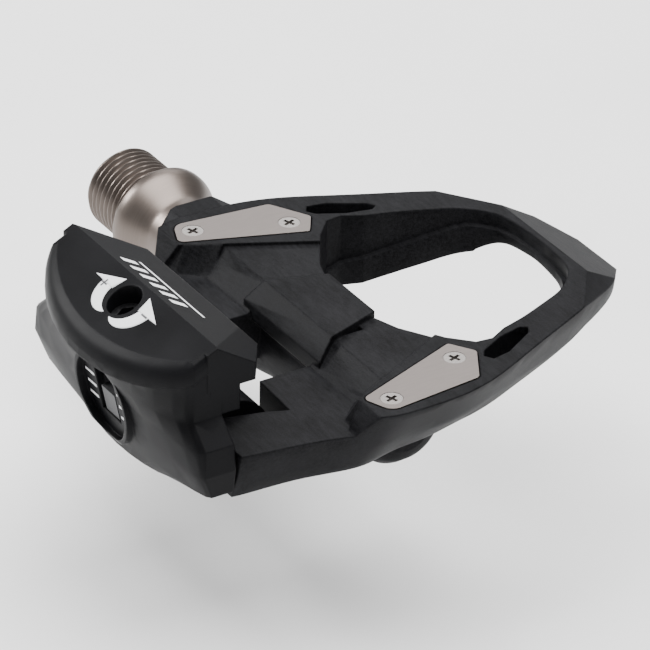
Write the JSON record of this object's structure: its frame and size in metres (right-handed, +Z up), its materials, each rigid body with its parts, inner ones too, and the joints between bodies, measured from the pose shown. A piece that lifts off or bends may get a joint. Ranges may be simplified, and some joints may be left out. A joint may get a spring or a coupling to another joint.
{
  "type": "clipless road pedal",
  "caption": "Right-hand clipless road pedal: moulded body with front loop, steel contact plates, sprung rear claw with a tension adjuster, and a turning axle unit.",
  "frame": {"origin": "middle of the spindle's crank seat, on the spindle's axis", "axes": "+X along the spindle away from the crank, +Y towards the front loop, +Z up, out of the shoe side of the platform"},
  "size_m": [0.1018, 0.096, 0.0332],
  "materials": {
    "composite": "fine grained carbon-filled composite, satin",
    "binding_composite": "smooth satin carbon-filled composite",
    "stainless": "brushed stainless",
    "screw_steel": "bright stainless",
    "pin_steel": "ground steel",
    "spring_steel": "spring wire",
    "spindle_steel": "turned, satin plated",
    "bearing_steel": "ground bearing steel",
    "sleeve_composite": "satin",
    "seal_rubber": "matte",
    "black_bolt": "black oxide",
    "indicator_white": "satin white"
  },
  "bodies": {
    "spindle_unit": {"spindle": "spindle_steel", "cone": "bearing_steel", "lock_nut": "pin_steel"},
    "pedal_body": {"body": "composite", "contact_plate_inboard": "stainless", "contact_plate_outboard": "stainless", "plate_screws": "screw_steel", "pivot_pin": "pin_steel", "torsion_spring_inboard": "spring_steel", "torsion_spring_outboard": "spring_steel", "bearing_tube": "bearing_steel", "needle_cup": "bearing_steel", "inner_race": "bearing_steel", "outer_race": "bearing_steel", "lock_sleeve": "sleeve_composite", "dust_seal": "seal_rubber"},
    "needle_set": {"needle_rollers": "bearing_steel"},
    "inner_ball_ring": {"inner_balls": "bearing_steel"},
    "outer_ball_ring": {"outer_balls": "bearing_steel"},
    "binding_unit": {"binding": "binding_composite"},
    "adjuster": {"adjuster_bolt": "black_bolt"},
    "tension_unit": {"tension_nut": "pin_steel", "indicator": "indicator_white"}
  },
  "joints": [
    {"name": "body_spin", "type": "hinge", "parent": "spindle_unit", "child": "pedal_body", "pos_m": [0.054, 0, 0], "axis": [1, 0, 0], "continuous": true},
    {"name": "needle_orbit", "type": "hinge", "parent": "spindle_unit", "child": "needle_set", "pos_m": [0.054, 0, 0], "axis": [1, 0, 0], "continuous": true},
    {"name": "inner_ball_orbit", "type": "hinge", "parent": "spindle_unit", "child": "inner_ball_ring", "pos_m": [0.054, 0, 0], "axis": [1, 0, 0], "continuous": true},
    {"name": "outer_ball_orbit", "type": "hinge", "parent": "spindle_unit", "child": "outer_ball_ring", "pos_m": [0.054, 0, 0], "axis": [1, 0, 0], "continuous": true},
    {"name": "binding_pivot", "type": "hinge", "parent": "pedal_body", "child": "binding_unit", "pos_m": [0.054, -0.0275, 0.002], "axis": [1, 0, 0], "range_deg": [0, 10], "stiffness_Nm_per_rad": 8, "springref_deg": -20.05, "deforming": ["torsion_spring_inboard", "torsion_spring_outboard"]},
    {"name": "adjuster_turn", "type": "hinge", "parent": "binding_unit", "child": "adjuster", "pos_m": [0.054, -0.0374, 0.0222], "axis": [0, 0.2079, -0.9781], "range_deg": [0, 2058]},
    {"name": "tension_slide", "type": "slide", "parent": "binding_unit", "child": "tension_unit", "axis": [0, -0.2079, 0.9781], "range_m": [0, 0.004], "deforming": ["torsion_spring_inboard", "torsion_spring_outboard"]}
  ],
  "couplings": [
    {"joint": "needle_orbit", "follows": "body_spin", "ratio": 0.5773},
    {"joint": "inner_ball_orbit", "follows": "body_spin", "ratio": 0.6437},
    {"joint": "outer_ball_orbit", "follows": "body_spin", "ratio": 0.6437},
    {"joint": "adjuster_turn", "follows": "tension_slide", "rad_per_m": 8976}
  ]
}
